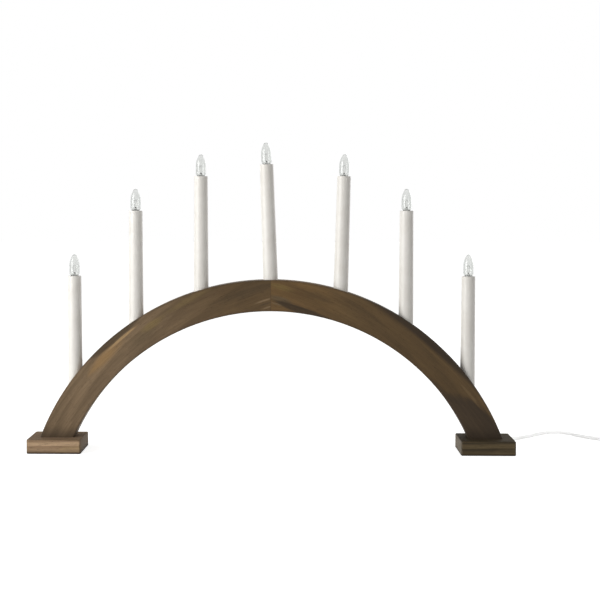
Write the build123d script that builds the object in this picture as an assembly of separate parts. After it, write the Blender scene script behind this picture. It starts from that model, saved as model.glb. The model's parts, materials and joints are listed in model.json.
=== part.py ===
"""Seven-light electric candle arch: stained wooden arch, screw-in bulbs, mains cord with plug."""

import math
import os

from build123d import *

# Frame: millimetres, +Z up, +X to the right, +Y to the back.
# The origin is on the table, midway between the two feet.

# Wooden arch
arch_outer_radius = 317.0
arch_band = 39.8
arch_thickness = 28.0
crown_height = 220.3
arch_edge_radius = 1.2
arch_edge_flats = 3

# Biscuit that joins the two halves at the crown
biscuit_length = 48.0
biscuit_height = 19.0
biscuit_thickness = 4.0
biscuit_drop = 24.5
biscuit_setback = 2.9
biscuit_clearance = 0.15

# Feet and their screws
foot_width = 69.0
foot_depth = 69.0
foot_height = 18.3
foot_outset = 1.1
foot_corner_radius = 2.5
foot_edge_radius = 1.2
screw_diameter = 4.0
screw_head_diameter = 8.0
screw_length = 34.0
screw_recess = 0.6
screw_spacing = 16.0
screw_clearance = 0.1

# Candle places: share of the arc from the crown to the foot, seat depth on the candle's axis, lean in degrees
inner_candle_share = 0.2372
middle_candle_share = 0.4797
outer_candle_share = 0.7639
crown_seat_depth = 8.4
inner_seat_depth = 10.7
middle_seat_depth = 16.1
outer_seat_depth = 26.4
crown_candle_lean = -2.0
right_inner_candle_lean = 1.5
seat_clearance = 0.15

# Candle sleeve
sleeve_length = 155.0
sleeve_base_diameter = 19.0
sleeve_top_diameter = 17.2
sleeve_top_wall = 1.3
sleeve_rim_radius = 0.6
lip_thickness = 1.6
lip_clearance = 0.6

# Bulb: heights are counted from the rim of the sleeve
bulb_top = 27.6
bulb_dome_height = 12.5
bulb_wide_diameter = 13.0
bulb_shoulder_height = 3.6
bulb_shoulder_drop = 4.8
bulb_neck_diameter = 8.2
bulb_tip_radius = 3.2
glass_wall = 0.5
glass_in_cap = 4.0

# Screw cap of the bulb
cap_diameter = 9.4
cap_length = 10.5
cap_wall = 0.35
cap_drop = 1.6
cap_fit = 0.1
insulator_height = 1.8
insulator_base_diameter = 5.0
tip_diameter = 3.4
tip_height = 1.0
thread_pitch = 1.81

# Mount inside the bulb
stem_fit = 0.15
stem_height = 3.2
bead_diameter = 2.6
lead_spacing = 3.6
lead_diameter = 0.6
lead_height = 12.0
filament_diameter = 0.5

# Lampholder in the top of the sleeve
holder_clearance = 0.15
holder_floor = 7.5
shell_clearance = 0.3
shell_wall = 0.4
shell_length = 11.0
shell_fit = 0.05

# Sprung centre contact of the lampholder
contact_gap = 0.05
contact_head_diameter = 5.6
contact_head_height = 1.0
contact_rest_gap = 0.1
contact_stem_diameter = 3.4
contact_stem_clearance = 0.2
contact_collar_diameter = 5.4
contact_collar_height = 1.0
contact_stop_gap = 0.1

# Wiring groove in the arch's back, its cover strip and the wires
groove_from_inside = 11.0
groove_width = 8.0
groove_depth = 10.0
cover_thickness = 2.0
cover_clearance = 0.15
wire_diameter = 2.0
wire_clearance = 0.2
wire_side_offset = 3.4
wire_back_offset = 2.2
wire_straight = 0.3
wire_track_gap = 3.4
wire_bend_radius = 2.1
wire_hole_diameter = 12.4
wire_hole_run_out = 0.5
wire_socket_depth = 4.0
return_wire_steps = 8

# Cord bushing with its strain relief
bushing_above_foot = 12.0
bushing_diameter = 9.0
bushing_depth = 4.0
bushing_fit = 0.1
bushing_flange_diameter = 12.0
bushing_flange_thickness = 1.5
relief_length = 16.0
relief_end_diameter = 6.8
relief_start_diameter = 9.0
cord_fit = 0.1

# Mains cord, its coil, tie and plug
cord_diameter = 5.0
cord_bend_share = 0.45
coil_centre_x = 492.0
coil_centre_y = 40.0
coil_outer_radius = 37.0
coil_gap = 0.6
coil_half_turns = 6
coil_lift = 1.2
tie_thickness = 1.0
tie_width = 4.0
tie_clearance = 0.2
tail_drop_run = 22.0
tail_side_step = 2.0
plug_relief_length = 22.0
plug_relief_small_diameter = 6.6
plug_relief_large_diameter = 10.0
plug_shoulder_length = 18.0
plug_straight_length = 18.0
plug_width = 35.0
plug_thickness = 13.7
plug_neck_width = 16.0
plug_neck_thickness = 11.0
plug_corner_radius = 4.0
pin_diameter = 4.0
pin_spacing = 19.0
pin_length = 19.0
pin_insert = 8.0
pin_fit = 0.05

# Worked out from the sizes above
arch_inner_radius = arch_outer_radius - arch_band
arch_centre_z = crown_height - arch_outer_radius
arch_back = arch_thickness / 2
cut_margin = 1.0


def arc_height(radius, x):
    """Height above the table of an arch circle of this radius at this x."""
    return arch_centre_z + math.sqrt(radius**2 - x**2)


def arc_reach(radius, z):
    """Distance from the middle plane of an arch circle of this radius at this height."""
    return math.sqrt(radius**2 - (z - arch_centre_z) ** 2)


leg_angle = math.acos((foot_height - arch_centre_z) / arch_outer_radius)


def candle_offset(share):
    """Distance across from the crown of a place at this share of the outer arc."""
    return arch_outer_radius * math.sin(share * leg_angle)


leg_inside = arc_reach(arch_inner_radius, foot_height)
leg_outside = arc_reach(arch_outer_radius, foot_height)
foot_centre = (leg_inside + leg_outside) / 2 + foot_outset

groove_radius = arch_inner_radius + groove_from_inside
groove_bottom = arch_back - groove_depth
wire_y = wire_back_offset + 2 * wire_bend_radius + wire_straight
link_track = groove_radius + wire_track_gap / 2
return_track = groove_radius - wire_track_gap / 2

sleeve_bore = sleeve_top_diameter - 2 * sleeve_top_wall
lip_opening = cap_diameter + 2 * lip_clearance
cap_top = -cap_drop
cap_bottom = cap_top - cap_length
tip_end = cap_bottom - insulator_height - tip_height
contact_top = tip_end - contact_gap
contact_head_bottom = contact_top - contact_head_height
holder_top = -lip_thickness
holder_diameter = sleeve_bore - 2 * holder_clearance
socket_floor = contact_head_bottom - contact_rest_gap
holder_bottom = socket_floor - holder_floor
shell_inside = cap_diameter + 2 * shell_clearance
shell_outside = shell_inside + 2 * shell_wall

# One row per candle, from left to right: place across, seat depth, lean
candles = (
    (-candle_offset(outer_candle_share), outer_seat_depth, 0.0),
    (-candle_offset(middle_candle_share), middle_seat_depth, 0.0),
    (-candle_offset(inner_candle_share), inner_seat_depth, 0.0),
    (0.0, crown_seat_depth, crown_candle_lean),
    (candle_offset(inner_candle_share), inner_seat_depth, right_inner_candle_lean),
    (candle_offset(middle_candle_share), middle_seat_depth, 0.0),
    (candle_offset(outer_candle_share), outer_seat_depth, 0.0),
)


def seat_place(candle):
    """Frame at the floor of a candle's seat, with Z along the candle."""
    x, depth, lean = candle
    return Location((x, 0, arc_height(arch_outer_radius, x) - depth), (0, lean, 0))


def rim_place(candle):
    """Frame at the rim of a candle's sleeve, with Z along the candle."""
    return seat_place(candle) * Location((0, 0, sleeve_length))


def disc(diameter, bottom, top):
    """Upright cylinder between two heights on the local Z axis."""
    height = top - bottom
    return Pos(0, 0, bottom) * Cylinder(diameter / 2, height, align=(Align.CENTER, Align.CENTER, Align.MIN))


def lathe(*points):
    """Solid of revolution about local Z from (radius, height) points."""
    outline = Polyline(*points, close=True)
    return revolve(Plane.XZ * make_face(outline), Axis.Z)


def across(radius, front, back):
    """Cylinder about the arch's axis, running from one depth to another along Y."""
    depth = back - front
    return Pos(0, (front + back) / 2, arch_centre_z) * Rot(90, 0, 0) * Cylinder(radius, depth)


def lead_spots(candle):
    """The two wire entries of a candle, left then right, in its own frame."""
    return ((-wire_side_offset, wire_back_offset), (wire_side_offset, wire_back_offset))


def lead_point(candle, side, track):
    """Where the lead on this side (0 left, 1 right) meets its track in the groove."""
    x, depth, lean = candle
    drop = arc_height(arch_outer_radius, x) - depth - arc_height(track, x)
    lead_x = x + lead_spots(candle)[side][0] - drop * math.tan(math.radians(lean))
    return lead_x, arc_height(track, lead_x)


# Which track each candle's two leads use
left_tracks = [link_track] * len(candles)
right_tracks = [link_track] * len(candles)
right_tracks[0] = return_track


def wire_hole_bottom(number):
    """Height of the floor of a candle's wire hole, below the lower of its two leads."""
    candle = candles[number]
    lower = min(lead_point(candle, 0, left_tracks[number])[1], lead_point(candle, 1, right_tracks[number])[1])
    return lower - wire_diameter / 2 - wire_hole_run_out


bushing_z = foot_height + bushing_above_foot
bushing_x = arc_reach(groove_radius, bushing_z)


def band_section():
    """Corners of the arch's section, with every edge eased in small flats."""
    inside = arch_inner_radius + arch_edge_radius
    outside = arch_outer_radius - arch_edge_radius
    depth = arch_back - arch_edge_radius
    points = []
    for quarter, (radius, y) in enumerate(
        ((outside, depth), (inside, depth), (inside, -depth), (outside, -depth))
    ):
        for step in range(arch_edge_flats + 1):
            turn = math.radians(90 * (quarter + step / arch_edge_flats))
            points.append((radius + arch_edge_radius * math.cos(turn), y + arch_edge_radius * math.sin(turn)))
    return points


def make_arch():
    """Both halves of the arch, with seats, wiring groove, bushing hole and screw holes."""
    ring = Pos(0, 0, arch_centre_z) * revolve(make_face(Polyline(*band_section(), close=True)), Axis.Y)
    reach = 2 * arch_outer_radius
    above_feet = Pos(0, 0, foot_height) * Box(
        2 * reach, 2 * reach, reach, align=(Align.CENTER, Align.CENTER, Align.MIN)
    )
    band = ring & above_feet

    groove = across(groove_radius + groove_width / 2, groove_bottom, arch_back + cut_margin)
    groove -= across(groove_radius - groove_width / 2, groove_bottom, arch_back + cut_margin)
    above_bushing = Pos(0, 0, bushing_z) * Box(
        2 * reach, 2 * reach, reach, align=(Align.CENTER, Align.CENTER, Align.MIN)
    )
    band -= groove & above_bushing
    bushing_hole = Cylinder(bushing_diameter / 2 + bushing_fit, groove_depth + cut_margin)
    hole_middle = (groove_bottom + arch_back + cut_margin) / 2
    band -= Pos(bushing_x, hole_middle, bushing_z) * Rot(90, 0, 0) * bushing_hole

    seat_diameter = sleeve_base_diameter + 2 * seat_clearance
    for number, candle in enumerate(candles):
        band -= seat_place(candle) * disc(seat_diameter, 0, sleeve_length)
        seat_floor = arc_height(arch_outer_radius, candle[0]) - candle[1]
        hole_depth = seat_floor - wire_hole_bottom(number)
        band -= seat_place(candle) * disc(wire_hole_diameter, -hole_depth, cut_margin)

    for x in screw_places:
        band -= Pos(x, 0, 0) * disc(screw_diameter + 2 * screw_clearance, 0, screw_length + screw_recess + cut_margin)
    band -= biscuit_place * biscuit_lens(biscuit_clearance)

    right_side = Pos(0, 0, foot_height) * Box(
        reach, 2 * reach, reach, align=(Align.MIN, Align.CENTER, Align.MIN)
    )
    return band - right_side, band & right_side


def biscuit_lens(clearance):
    """Flat lens with its length along X, its height along Z and its thickness along Y."""
    half_length = biscuit_length / 2
    half_height = biscuit_height / 2
    bow_radius = (half_length**2 + half_height**2) / (2 * half_height)
    bow = Cylinder(bow_radius + clearance, biscuit_thickness + 2 * clearance)
    lens = Pos(0, bow_radius - half_height, 0) * bow & Pos(0, half_height - bow_radius, 0) * bow
    return Rot(90, 0, 0) * lens


biscuit_y = -arch_back + biscuit_setback + biscuit_thickness / 2
biscuit_place = Pos(0, biscuit_y, crown_height - biscuit_drop)

# The screws stand where the slanting leg is centred over their length
screw_middle_height = (foot_height + screw_length) / 2
leg_middle = arc_reach((arch_inner_radius + arch_outer_radius) / 2, screw_middle_height)
screw_places = [
    side * (leg_middle + step * screw_spacing / 2) for side in (-1, 1) for step in (-1, 1)
]


def screw_shape(clearance, length):
    """Countersunk screw, head down at the recess, or the hole for one with a clearance."""
    head = screw_head_diameter / 2 + clearance
    shank = screw_diameter / 2 + clearance
    neck = screw_recess + head - shank
    return lathe((0, screw_recess), (head, screw_recess), (shank, neck), (shank, length), (0, length))


def make_foot(side):
    """Foot block with eased edges and two countersunk screw holes from below."""
    block = Box(foot_width, foot_depth, foot_height, align=(Align.CENTER, Align.CENTER, Align.MIN))
    block = fillet(block.edges().filter_by(Axis.Z), foot_corner_radius)
    block = fillet(block.faces().sort_by(Axis.Z)[-1].edges(), foot_edge_radius)
    block = fillet(block.faces().sort_by(Axis.Z)[0].edges(), foot_edge_radius)
    foot = Pos(side * foot_centre, 0, 0) * block
    for x in screw_places:
        if x * side > 0:
            foot -= Pos(x, 0, 0) * screw_shape(screw_clearance, foot_height + cut_margin)
            foot -= Pos(x, 0, 0) * disc(screw_head_diameter + 2 * screw_clearance, -cut_margin, screw_recess)
    return foot


def make_sleeve():
    """Tapered candle tube with a lip at its rim, standing on its seat at height 0."""
    outside = lathe(
        (0, 0), (sleeve_base_diameter / 2, 0), (sleeve_top_diameter / 2, sleeve_length), (0, sleeve_length)
    )
    rim = outside.edges().filter_by(GeomType.CIRCLE).sort_by(Axis.Z)[-1]
    outside = fillet(rim, sleeve_rim_radius)
    outside -= disc(sleeve_bore, -cut_margin, sleeve_length - lip_thickness)
    return outside - disc(lip_opening, 0, sleeve_length + cut_margin)


def make_holder():
    """Lampholder under the lip: socket for the shell, guide for the contact, two wire entries."""
    holder = disc(holder_diameter, holder_bottom, holder_top)
    holder -= disc(shell_outside + 2 * shell_fit, socket_floor, 0)
    holder -= disc(contact_stem_diameter + 2 * contact_stem_clearance, holder_bottom - cut_margin, 0)
    for x, y in lead_spots(candles[0]):
        entry = disc(wire_diameter + 2 * wire_clearance, holder_bottom - cut_margin, holder_bottom + wire_socket_depth)
        holder -= Pos(x, y, 0) * entry
    return holder


def make_shell():
    """Threaded socket shell, modelled plain at its inside and outside diameters."""
    shell = disc(shell_outside, cap_top - shell_length, cap_top)
    return shell - disc(shell_inside, cap_top - shell_length - cut_margin, cap_top + cut_margin)


def make_contact():
    """Centre contact: head under the bulb's tip, stem in the holder's floor, collar that stops it."""
    collar_top = holder_bottom - thread_pitch - contact_stop_gap
    collar_bottom = collar_top - contact_collar_height
    contact = disc(contact_head_diameter, contact_head_bottom, contact_top)
    contact += disc(contact_stem_diameter, collar_bottom, contact_head_bottom)
    return contact + disc(contact_collar_diameter, collar_bottom, collar_top)


def envelope(inset):
    """Solid bullet shape of the bulb, drawn in by a wall, down to its neck."""
    wide = bulb_wide_diameter / 2 - inset
    neck = bulb_neck_diameter / 2 - inset
    top = bulb_top - inset
    tip = bulb_tip_radius
    neck_end = cap_top - glass_in_cap

    # The dome's arc stands upright where it leaves the side and meets the round tip in one tangent
    rise = top - tip - bulb_dome_height
    dome = (wide**2 + rise**2 - tip**2) / (2 * (wide - tip))
    share = tip / (dome - tip)
    tip_start = (share * (dome - wide), top - tip + share * rise)
    tip_turn = math.atan2(rise, dome - wide)
    tip_middle_turn = (tip_turn + math.pi / 2) / 2
    tip_middle = (tip * math.cos(tip_middle_turn), top - tip + tip * math.sin(tip_middle_turn))
    dome_middle = (wide - dome + dome * math.cos(tip_turn / 2), bulb_dome_height + dome * math.sin(tip_turn / 2))

    # Two equal arcs, bending out and back, join the neck to the side
    half_step = (wide - neck) / 2
    half_drop = bulb_shoulder_drop / 2
    bend = (half_step**2 + half_drop**2) / (2 * half_step)
    half_turn = math.asin(half_drop / bend) / 2
    bend_step = bend * (1 - math.cos(half_turn))
    bend_rise = bend * math.sin(half_turn)
    neck_top = bulb_shoulder_height - bulb_shoulder_drop
    halfway = (neck + half_step, neck_top + half_drop)

    outline = [
        Line((0, neck_end), (neck, neck_end)),
        Line((neck, neck_end), (neck, neck_top)),
        ThreePointArc((neck, neck_top), (neck + bend_step, neck_top + bend_rise), halfway),
        ThreePointArc(halfway, (wide - bend_step, bulb_shoulder_height - bend_rise), (wide, bulb_shoulder_height)),
        Line((wide, bulb_shoulder_height), (wide, bulb_dome_height)),
        ThreePointArc((wide, bulb_dome_height), dome_middle, tip_start),
        ThreePointArc(tip_start, tip_middle, (0, top)),
        Line((0, top), (0, neck_end)),
    ]
    return revolve(Plane.XZ * make_face(outline), Axis.Z)


def make_glass():
    """Clear envelope, open at its neck."""
    neck_end = cap_top - glass_in_cap
    bore = disc(bulb_neck_diameter - 2 * glass_wall, neck_end - cut_margin, neck_end + cut_margin)
    return envelope(0) - envelope(glass_wall) - bore


def make_cap():
    """Screw cap: metal cup that holds the neck, insulating cone and solder tip."""
    cup_diameter = bulb_neck_diameter + 2 * cap_fit
    cap = disc(cap_diameter, cap_bottom, cap_top)
    cup_floor = cap_top - glass_in_cap - cap_fit
    cap -= disc(cup_diameter, cup_floor, cap_top + cut_margin)
    cap -= disc(cap_diameter - 2 * cap_wall - 2 * cap_fit, cup_floor, cup_floor + cap_fit)
    cone_bottom = cap_bottom - insulator_height
    cone = lathe(
        (0, cone_bottom), (insulator_base_diameter / 2, cone_bottom), (cap_diameter / 2 - cap_wall, cap_bottom), (0, cap_bottom)
    )
    return cap + cone + disc(tip_diameter, tip_end, cone_bottom)


def make_mount():
    """Glass stem with its bead, two leads and the filament between them."""
    neck_end = cap_top - glass_in_cap
    stem_radius = bulb_neck_diameter / 2 - glass_wall - stem_fit
    bead = bead_diameter / 2
    stem = lathe(
        (0, neck_end), (stem_radius, neck_end), (stem_radius, cap_top), (bead, stem_height), (bead, stem_height + bead), (0, stem_height + bead)
    )
    lead_foot = stem_height
    lead_turn = math.atan2(lead_spacing / 2 - bead / 2, lead_height - lead_foot)
    lead_run = math.hypot(lead_spacing / 2 - bead / 2, lead_height - lead_foot)
    mount = stem
    for side in (-1, 1):
        lead = disc(lead_diameter, 0, lead_run)
        mount += Pos(side * bead / 2, 0, lead_foot) * Rot(0, side * math.degrees(lead_turn), 0) * lead
    filament = Cylinder(filament_diameter / 2, lead_spacing)
    return mount + Pos(0, 0, lead_height) * Rot(0, 90, 0) * filament


def circle_along(path, diameter):
    """Round tube along a path, from its start."""
    start = Plane(origin=path @ 0, z_dir=path % 0)
    return sweep(start * Circle(diameter / 2), path=path)


def riser_points(number, side, track):
    """A lead's points from the lampholder down to its track in the groove."""
    candle = candles[number]
    spot_x, spot_y = lead_spots(candle)[side]
    top = rim_place(candle) * Location((spot_x, spot_y, holder_bottom + wire_socket_depth - wire_clearance))
    x, z = lead_point(candle, side, track)
    start = top.position
    return [(start.X, start.Y, start.Z), (x, wire_back_offset, z), (x, wire_y, z)]


def tangent_corner(first, second):
    """Where the tangents of two points on one arch circle cross, each given as (x, z)."""
    angle_first = math.atan2(first[0], first[1] - arch_centre_z)
    angle_second = math.atan2(second[0], second[1] - arch_centre_z)
    radius = math.hypot(first[0], first[1] - arch_centre_z)
    half = (angle_second - angle_first) / 2
    middle = (angle_first + angle_second) / 2
    out = radius / math.cos(half)
    return (out * math.sin(middle), wire_y, arch_centre_z + out * math.cos(middle)), abs(half), radius


def track_radius(radius, half):
    """Fillet radius at a tangent corner that leaves room for the bend at each end."""
    return radius - 2 * wire_bend_radius / math.tan(half)


def link_wire(number):
    """Wire from one candle's right lead to the next candle's left lead."""
    begin = riser_points(number, 1, right_tracks[number])
    end = riser_points(number + 1, 0, left_tracks[number + 1])
    corner, half, radius = tangent_corner((begin[2][0], begin[2][2]), (end[2][0], end[2][2]))
    points = begin + [corner] + end[::-1]
    bend = wire_bend_radius
    radii = [bend, bend, track_radius(radius, half), bend, bend]
    return circle_along(FilletPolyline(*points, radius=radii), wire_diameter)


def swap_link_wire():
    """First link: from the left lead of candle 1, whose right lead carries the return wire."""
    begin = riser_points(0, 0, left_tracks[0])
    end = riser_points(1, 0, left_tracks[1])
    corner, half, radius = tangent_corner((begin[2][0], begin[2][2]), (end[2][0], end[2][2]))
    points = begin + [corner] + end[::-1]
    bend = wire_bend_radius
    radii = [bend, bend, track_radius(radius, half), bend, bend]
    return circle_along(FilletPolyline(*points, radius=radii), wire_diameter)


cord_inner_end = wire_y + wire_bend_radius + wire_straight


def core_end(track):
    """Last points of a core: along its track to below the cord, then out to the cord's end."""
    x = arc_reach(track, bushing_z)
    return (x, wire_y, bushing_z), (x, cord_inner_end, bushing_z)


def feed_wire():
    """Wire from the right lead of the last candle to the cord."""
    last = len(candles) - 1
    begin = riser_points(last, 1, right_tracks[last])
    turn, end = core_end(link_track)
    bend = wire_bend_radius
    return circle_along(FilletPolyline(*begin, turn, end, radius=[bend] * 3), wire_diameter)


def return_wire():
    """Wire from the right lead of the first candle, all along the groove, to the cord."""
    begin = riser_points(0, 1, return_track)
    turn, end = core_end(return_track)
    first_angle = math.atan2(begin[2][0], begin[2][2] - arch_centre_z)
    last_angle = math.atan2(turn[0], turn[2] - arch_centre_z)
    step = (last_angle - first_angle) / return_wire_steps
    out = return_track / math.cos(step / 2)
    corners = []
    for number in range(return_wire_steps):
        angle = first_angle + step * (number + 0.5)
        corners.append((out * math.sin(angle), wire_y, arch_centre_z + out * math.cos(angle)))
    bend = wire_bend_radius
    radii = [bend, bend] + [track_radius(return_track, step / 2)] * return_wire_steps + [bend]
    return circle_along(FilletPolyline(*begin, *corners, turn, end, radius=radii), wire_diameter)


def make_cover():
    """Strip that closes the wiring groove flush with the arch's back."""
    front = arch_back - cover_thickness
    half = groove_width / 2 - cover_clearance
    strip = across(groove_radius + half, front, arch_back) - across(groove_radius - half, front, arch_back)
    reach = 2 * arch_outer_radius
    left_end = bushing_z + cover_clearance
    right_end = bushing_z + bushing_flange_diameter / 2 + cover_clearance
    left = Pos(0, 0, left_end) * Box(reach, reach, reach, align=(Align.MAX, Align.CENTER, Align.MIN))
    right = Pos(0, 0, right_end) * Box(reach, reach, reach, align=(Align.MIN, Align.CENTER, Align.MIN))
    return strip & (left + right)


def make_bushing():
    """Bushing in the arch's back with a tapered strain relief, bored for the cord."""
    flange_top = bushing_flange_thickness
    end = flange_top + relief_length
    bushing = lathe(
        (cord_diameter / 2 + cord_fit, -bushing_depth),
        (bushing_diameter / 2, -bushing_depth),
        (bushing_diameter / 2, 0),
        (bushing_flange_diameter / 2, 0),
        (bushing_flange_diameter / 2, flange_top),
        (relief_start_diameter / 2, flange_top),
        (relief_end_diameter / 2, end),
        (cord_diameter / 2 + cord_fit, end),
    )
    return Pos(bushing_x, arch_back, bushing_z) * Rot(-90, 0, 0) * bushing


# Route of the cord from the bushing to the coil, on the table from the fourth point on
cord_rest = cord_diameter / 2
coil_first_z = coil_lift + cord_rest
coil_start_x = coil_centre_x - coil_outer_radius
coil_start_y = coil_centre_y + cord_diameter
cord_route = [
    (bushing_x, cord_inner_end, bushing_z),
    (bushing_x, 47, bushing_z),
    (267, 73, 12.5),
    (291, 80, cord_rest),
    (320, 82, cord_rest),
    (346, 104, 3),
    (367, 124, 4),
    (386, 134, 5),
    (404, 128, 4),
    (416, 112, 3),
    (437, 90, cord_rest),
    (coil_start_x, 66, coil_first_z),
    (coil_start_x, coil_start_y, coil_first_z),
]


def route_radii(points):
    """Largest tangent arc at each corner of a route."""
    radii = []
    for before, here, after in zip(points, points[1:], points[2:]):
        run_in = Vector(here) - Vector(before)
        run_out = Vector(after) - Vector(here)
        shorter = min(run_in.length, run_out.length)
        half_turn = math.radians(run_in.get_angle(run_out)) / 2
        radii.append(cord_bend_share * shorter / math.tan(half_turn))
    return radii


def make_cord(points, name):
    """Free stretch of the cord along its route, with its radii and its volume checked in print."""
    radii = route_radii(points)
    path = FilletPolyline(*points, radius=radii)
    tube = circle_along(path, cord_diameter)
    expected = math.pi * cord_diameter**2 / 4 * path.length
    print(name, "radii", [round(radius) for radius in radii])
    print(name, "length", round(path.length), "volume share", round(tube.volume / expected, 4))
    return tube


coil_pitch = cord_diameter + coil_gap
coil_second_z = coil_first_z + coil_pitch


def coil_arcs():
    """Half turns of the coil as (start, middle, end): in on the first layer, up, out on the second."""
    radii = [coil_outer_radius - coil_pitch / 2 * number for number in range(coil_half_turns + 1)]
    radii += radii[-2::-1]
    arcs = []
    here = coil_start_x
    side = -1
    for number, radius in enumerate(radii):
        start_z = coil_first_z if number <= coil_half_turns else coil_second_z
        end_z = coil_first_z if number < coil_half_turns else coil_second_z
        centre = here - side * radius
        there = centre - side * radius
        bow = math.hypot(radius, (end_z - start_z) / 2)
        middle = (centre, coil_centre_y + side * bow, (start_z + end_z) / 2)
        arcs.append(((here, coil_centre_y, start_z), middle, (there, coil_centre_y, end_z)))
        here = there
        side = -side
    return arcs


def least_gap(points, skip):
    """Smallest free distance between stretches of a tube that aren't neighbours along it."""
    least = math.inf
    for number, point in enumerate(points):
        for other in points[number + skip :]:
            least = min(least, math.dist(point, other))
    return least - cord_diameter


def make_coil():
    """Tied coil of the spare cord: one unbroken tube in two layers."""
    arcs = coil_arcs()
    edges = [Line((coil_start_x, coil_start_y, coil_first_z), arcs[0][0])]
    edges += [ThreePointArc(*arc) for arc in arcs]
    last = arcs[-1][2]
    edges.append(Line(last, (last[0], last[1] + cord_diameter, last[2])))
    path = Wire(edges)
    tube = circle_along(path, cord_diameter)
    samples_per_arc = 24
    points = []
    for edge in edges[1:-1]:
        points += [tuple(edge @ (step / samples_per_arc)) for step in range(samples_per_arc)]
    print("coil length", round(path.length), "least gap", round(least_gap(points, samples_per_arc), 2))
    return tube, edges[-1] @ 1


def make_tie():
    """Band round the bundle of turns, on the near side of the coil."""
    inner_turn = coil_outer_radius - coil_pitch / 2 * coil_half_turns
    room = cord_diameter / 2 + tie_clearance
    near = coil_centre_y - coil_outer_radius - room
    far = coil_centre_y - inner_turn + room
    bottom = coil_first_z - room
    top = coil_second_z + room
    corner = cord_diameter / 2
    hole = RectangleRounded(far - near, top - bottom, corner)
    band = RectangleRounded(far - near + 2 * tie_thickness, top - bottom + 2 * tie_thickness, corner + tie_thickness)
    section = Plane.YZ * Pos((near + far) / 2, (bottom + top) / 2, 0) * (band - hole)
    return Pos(coil_centre_x, 0, 0) * extrude(section, tie_width / 2, both=True)


def plug_slice(width, thickness, corner, y):
    """Rounded section of the plug, square to the cord."""
    return Pos(0, y, 0) * Rot(-90, 0, 0) * RectangleRounded(width, thickness, corner)


def make_plug(place):
    """Flat two-pin plug with a tapered relief, and its pins."""
    shoulder_end = plug_relief_length + plug_shoulder_length
    face = shoulder_end + plug_straight_length
    relief = lathe(
        (0, 0),
        (plug_relief_small_diameter / 2, 0),
        (plug_relief_large_diameter / 2, plug_relief_length),
        (0, plug_relief_length),
    )
    body = Rot(-90, 0, 0) * relief
    neck = plug_slice(plug_neck_width, plug_neck_thickness, plug_corner_radius, plug_relief_length)
    wide = plug_slice(plug_width, plug_thickness, plug_corner_radius, shoulder_end)
    body += loft([neck, wide])
    body += Pos(0, shoulder_end, 0) * Rot(-90, 0, 0) * extrude(
        RectangleRounded(plug_width, plug_thickness, plug_corner_radius), plug_straight_length
    )
    pins = []
    for side in (-1, 1):
        spot = Pos(side * pin_spacing / 2, face - pin_insert, 0) * Rot(-90, 0, 0)
        body -= spot * disc(pin_diameter + 2 * pin_fit, 0, pin_insert + cut_margin)
        pin = disc(pin_diameter, 0, pin_insert + pin_length)
        end = pin.edges().filter_by(GeomType.CIRCLE).sort_by(Axis.Z)[-1]
        pins.append(place * spot * fillet(end, pin_diameter / 4))
    return place * body, Compound(children=pins)


def save(name, shape):
    """Write one node."""
    export_step(shape, os.path.join("parts", name + ".step"))


os.makedirs("parts", exist_ok=True)

left_half, right_half = make_arch()
save("left_arch_half", left_half)
save("right_arch_half", right_half)
save("crown_biscuit", biscuit_place * biscuit_lens(0))
save("left_foot", make_foot(-1))
save("right_foot", make_foot(1))
screws = [Pos(x, 0, 0) * screw_shape(0, screw_length + screw_recess) for x in screw_places]
save("foot_screws", Compound(children=screws))

sleeve = make_sleeve()
rim_pieces = {
    "lampholder": make_holder(),
    "centre_contact": make_contact(),
    "bulb_glass": make_glass(),
    "bulb_cap": make_cap(),
    "bulb_mount": make_mount(),
}
for number, candle in enumerate(candles, start=1):
    save(f"candle_sleeve_{number}", seat_place(candle) * sleeve)
    for name, piece in rim_pieces.items():
        save(f"{name}_{number}", rim_place(candle) * piece)
shell = make_shell()
save("socket_shells", Compound(children=[rim_place(candle) * shell for candle in candles]))

links = [swap_link_wire()] + [link_wire(number) for number in range(1, len(candles) - 1)]
save("series_wires", Compound(children=links + [feed_wire()]))
save("return_wire", return_wire())
save("groove_cover", make_cover())

save("cord_bushing", make_bushing())
save("mains_cord", make_cord(cord_route, "cord"))
coil, coil_end = make_coil()
save("cord_coil", coil)
save("coil_tie", make_tie())

# The tail comes down from the coil's upper layer to the plug, which lies flat on the table
plug_z = plug_thickness / 2
tail_x = coil_end.X + tail_side_step
tail_route = [
    tuple(coil_end),
    (coil_end.X, coil_end.Y + tail_drop_run, coil_end.Z),
    (tail_x, coil_end.Y + 2 * tail_drop_run, plug_z),
    (tail_x, coil_end.Y + 3 * tail_drop_run, plug_z),
]
save("cord_tail", make_cord(tail_route, "tail"))
plug_body, plug_pins = make_plug(Pos(*tail_route[-1]))
save("plug_body", plug_body)
save("plug_pins", plug_pins)
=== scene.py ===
import json
import math

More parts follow.
